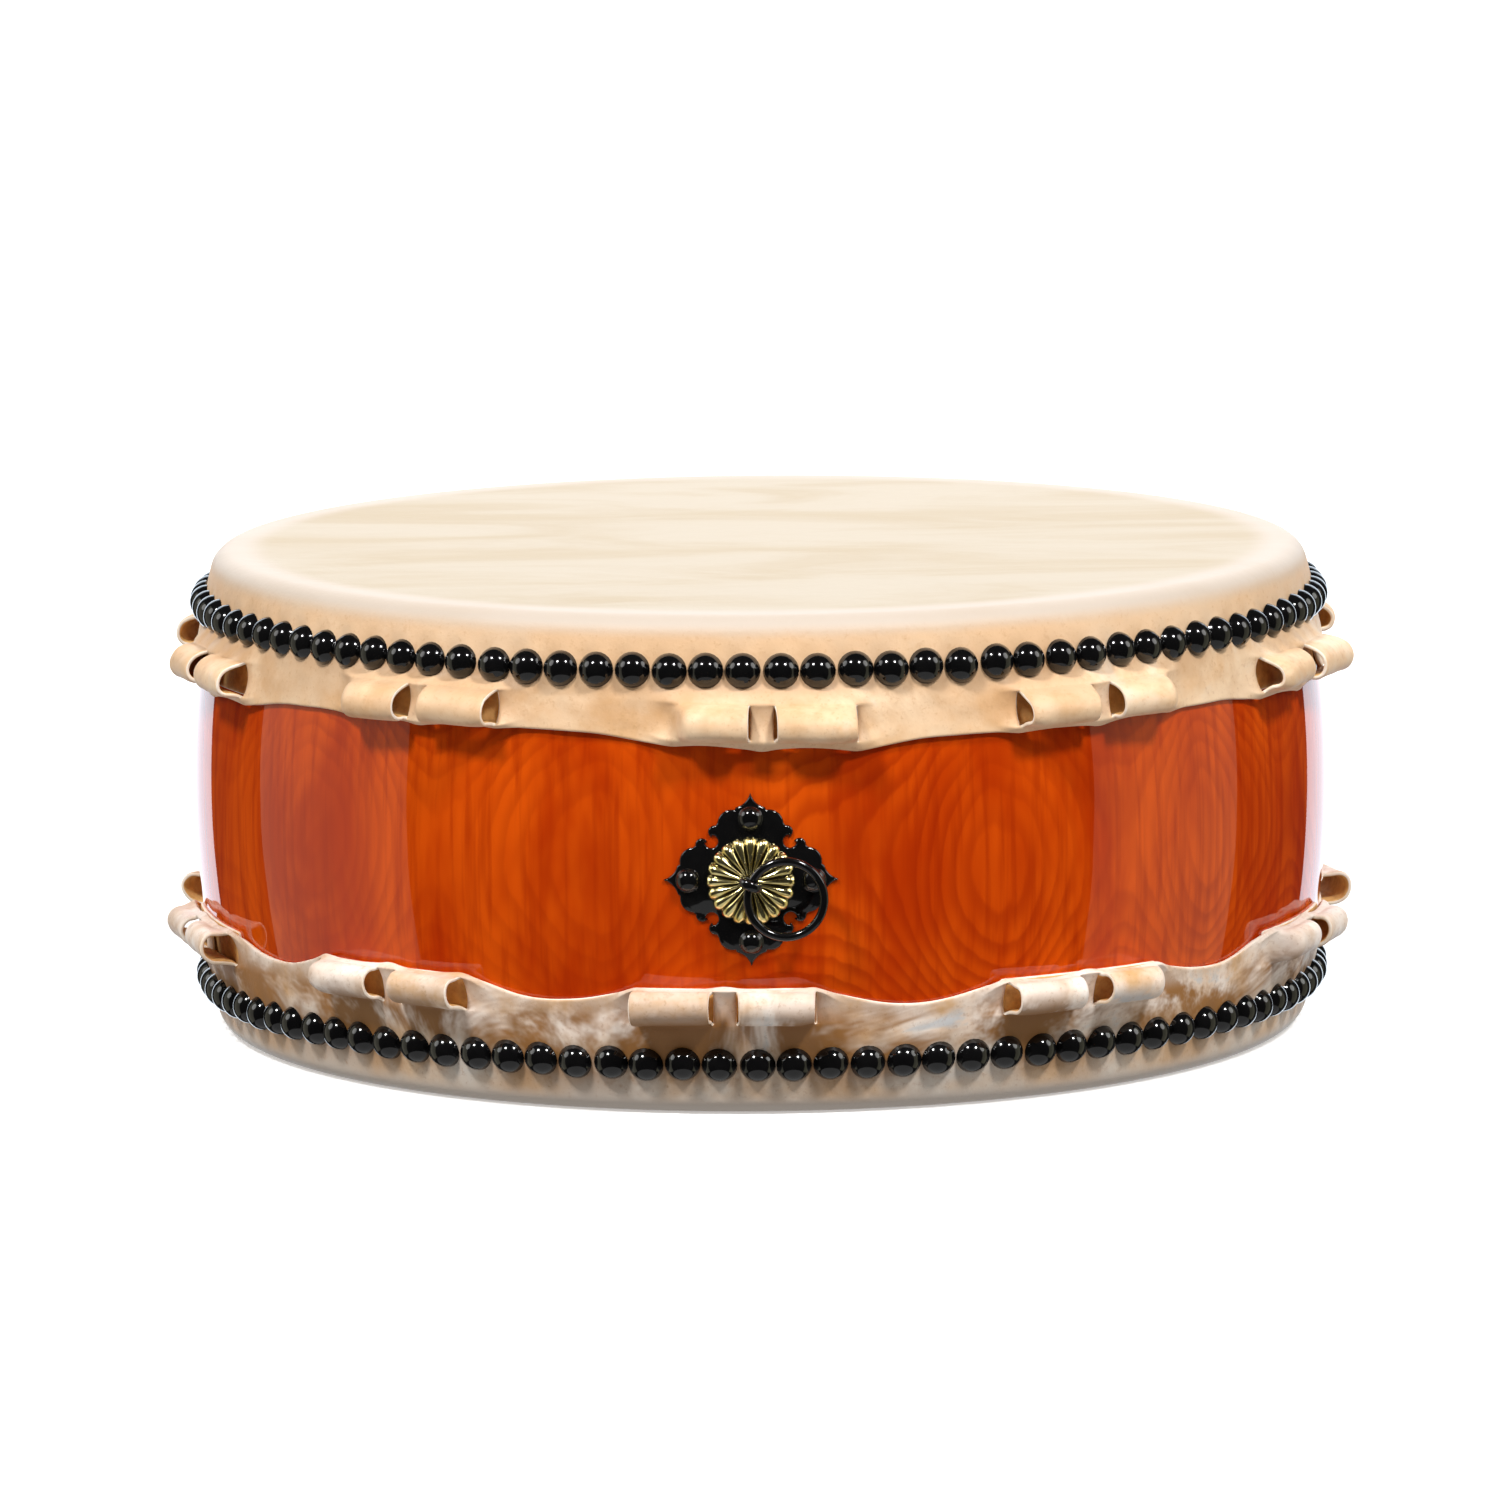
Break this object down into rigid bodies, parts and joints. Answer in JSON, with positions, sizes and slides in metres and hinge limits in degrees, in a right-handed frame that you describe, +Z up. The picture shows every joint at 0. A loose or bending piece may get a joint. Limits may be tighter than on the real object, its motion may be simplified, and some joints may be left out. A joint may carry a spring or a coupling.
{
  "type": "flat drum",
  "caption": "Low barrel drum with two tacked rawhide heads, rolled ears round each hide's rim, and a swinging ring handle on an ornamental plate at each side.",
  "frame": {"origin": "centre of the flat outer face of the bottom head, which the drum stands on", "axes": "+Z up along the drum's axis, -Y towards the front handle, +X to the right as seen from the front"},
  "size_m": [0.6052, 0.6124, 0.242],
  "materials": {
    "lacquered_wood": "high-gloss clear lacquer over orange-stained wood with broad curved growth rings",
    "top_rawhide": "smooth matt rawhide, cream with faint yellow streaks",
    "bottom_rawhide": "matt rawhide, mottled tan and grey",
    "black_tacks": "gloss black",
    "black_plate": "gloss black",
    "gilt_brass": "polished, darkened in the grooves",
    "black_iron": "gloss black",
    "plain_steel": "dull"
  },
  "bodies": {
    "drum": {"body_shell": "lacquered_wood", "top_head": "top_rawhide", "bottom_head": "bottom_rawhide", "top_tacks": "black_tacks", "bottom_tacks": "black_tacks", "front_plate": "black_plate", "front_plate_tacks": "black_tacks", "front_rosette": "gilt_brass", "front_washer": "plain_steel", "back_plate": "black_plate", "back_plate_tacks": "black_tacks", "back_rosette": "gilt_brass", "back_washer": "plain_steel"},
    "front_pin": {"front_split_pin": "black_iron"},
    "front_ring": {"front_ring": "black_iron"},
    "back_pin": {"back_split_pin": "black_iron"},
    "back_ring": {"back_ring": "black_iron"}
  },
  "joints": [
    {"name": "front_pin_swivel", "type": "hinge", "parent": "drum", "child": "front_pin", "pos_m": [0, -0.3, 0.1166], "axis": [0, -1, 0], "continuous": true},
    {"name": "front_ring_swing", "type": "hinge", "parent": "front_pin", "child": "front_ring", "pos_m": [0, -0.3, 0.1166], "axis": [-0.3907, 0, -0.9205], "range_deg": [-8, 188]},
    {"name": "back_pin_swivel", "type": "hinge", "parent": "drum", "child": "back_pin", "pos_m": [0, 0.3, 0.1166], "axis": [0, 1, 0], "continuous": true},
    {"name": "back_ring_swing", "type": "hinge", "parent": "back_pin", "child": "back_ring", "pos_m": [0, 0.3, 0.1166], "axis": [0.3907, 0, -0.9205], "range_deg": [-8, 188]}
  ]
}
